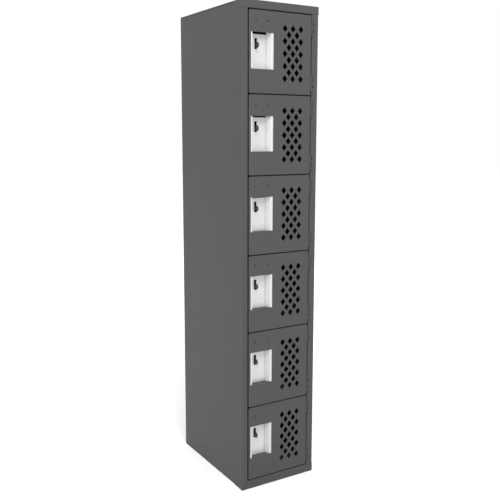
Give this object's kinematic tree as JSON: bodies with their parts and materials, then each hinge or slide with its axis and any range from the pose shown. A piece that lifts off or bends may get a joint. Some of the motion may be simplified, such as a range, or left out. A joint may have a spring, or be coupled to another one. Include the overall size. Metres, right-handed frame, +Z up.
{
  "type": "box locker cabinet",
  "caption": "Upright single-wide steel box locker with stacked lockable compartments behind diamond-perforated doors, in warm grey paint.",
  "frame": {"origin": "middle of the base, on the floor", "axes": "+Z up; the doors face -Y; +X is to the right of someone facing the doors, on the hinge side"},
  "size_m": [0.3048, 0.4572, 1.6764],
  "materials": {
    "frame_paint": "satin",
    "door_paint": "satin",
    "interior_paint": "satin",
    "stainless": "brushed",
    "hardware_steel": "zinc plated",
    "silencer_rubber": "matte"
  },
  "bodies": {
    "carcass": {"side_left": "frame_paint", "side_right": "frame_paint", "back_panel": "frame_paint", "top_panel": "frame_paint", "bottom_panel": "frame_paint", "shelf_1": "interior_paint", "shelf_2": "interior_paint", "shelf_3": "interior_paint", "shelf_4": "interior_paint", "shelf_5": "interior_paint", "upright_left": "frame_paint", "upright_right": "frame_paint", "header_rail": "frame_paint", "base_rail": "frame_paint", "cross_rail_1": "interior_paint", "cross_rail_2": "interior_paint", "cross_rail_3": "interior_paint", "cross_rail_4": "interior_paint", "cross_rail_5": "interior_paint", "padlock_eye_1": "hardware_steel", "padlock_eye_2": "hardware_steel", "padlock_eye_3": "hardware_steel", "padlock_eye_4": "hardware_steel", "padlock_eye_5": "hardware_steel", "padlock_eye_6": "hardware_steel", "frame_leaves_1": "frame_paint", "frame_leaves_2": "frame_paint", "frame_leaves_3": "frame_paint", "frame_leaves_4": "frame_paint", "frame_leaves_5": "frame_paint", "frame_leaves_6": "frame_paint", "hinge_pins": "hardware_steel", "silencers": "silencer_rubber", "friction_catches": "hardware_steel", "side_rivets": "frame_paint", "back_rivets": "frame_paint"},
    "door_1": {"door_1": "door_paint", "recess_plate_1": "stainless", "door_leaves_1": "door_paint", "leaf_rivets_1": "hardware_steel"},
    "door_2": {"door_2": "door_paint", "recess_plate_2": "stainless", "door_leaves_2": "door_paint", "leaf_rivets_2": "hardware_steel"},
    "door_3": {"door_3": "door_paint", "recess_plate_3": "stainless", "door_leaves_3": "door_paint", "leaf_rivets_3": "hardware_steel"},
    "door_4": {"door_4": "door_paint", "recess_plate_4": "stainless", "door_leaves_4": "door_paint", "leaf_rivets_4": "hardware_steel"},
    "door_5": {"door_5": "door_paint", "recess_plate_5": "stainless", "door_leaves_5": "door_paint", "leaf_rivets_5": "hardware_steel"},
    "door_6": {"door_6": "door_paint", "recess_plate_6": "stainless", "door_leaves_6": "door_paint", "leaf_rivets_6": "hardware_steel"}
  },
  "joints": [
    {"name": "door_1_hinge", "type": "hinge", "parent": "carcass", "child": "door_1", "pos_m": [0.1257, -0.2256, 1.51338], "axis": [0, 0, 1], "range_deg": [0, 115]},
    {"name": "door_2_hinge", "type": "hinge", "parent": "carcass", "child": "door_2", "pos_m": [0.1257, -0.2256, 1.24403], "axis": [0, 0, 1], "range_deg": [0, 115]},
    {"name": "door_3_hinge", "type": "hinge", "parent": "carcass", "child": "door_3", "pos_m": [0.1257, -0.2256, 0.97468], "axis": [0, 0, 1], "range_deg": [0, 115]},
    {"name": "door_4_hinge", "type": "hinge", "parent": "carcass", "child": "door_4", "pos_m": [0.1257, -0.2256, 0.70533], "axis": [0, 0, 1], "range_deg": [0, 115]},
    {"name": "door_5_hinge", "type": "hinge", "parent": "carcass", "child": "door_5", "pos_m": [0.1257, -0.2256, 0.43598], "axis": [0, 0, 1], "range_deg": [0, 115]},
    {"name": "door_6_hinge", "type": "hinge", "parent": "carcass", "child": "door_6", "pos_m": [0.1257, -0.2256, 0.16663], "axis": [0, 0, 1], "range_deg": [0, 115]}
  ]
}
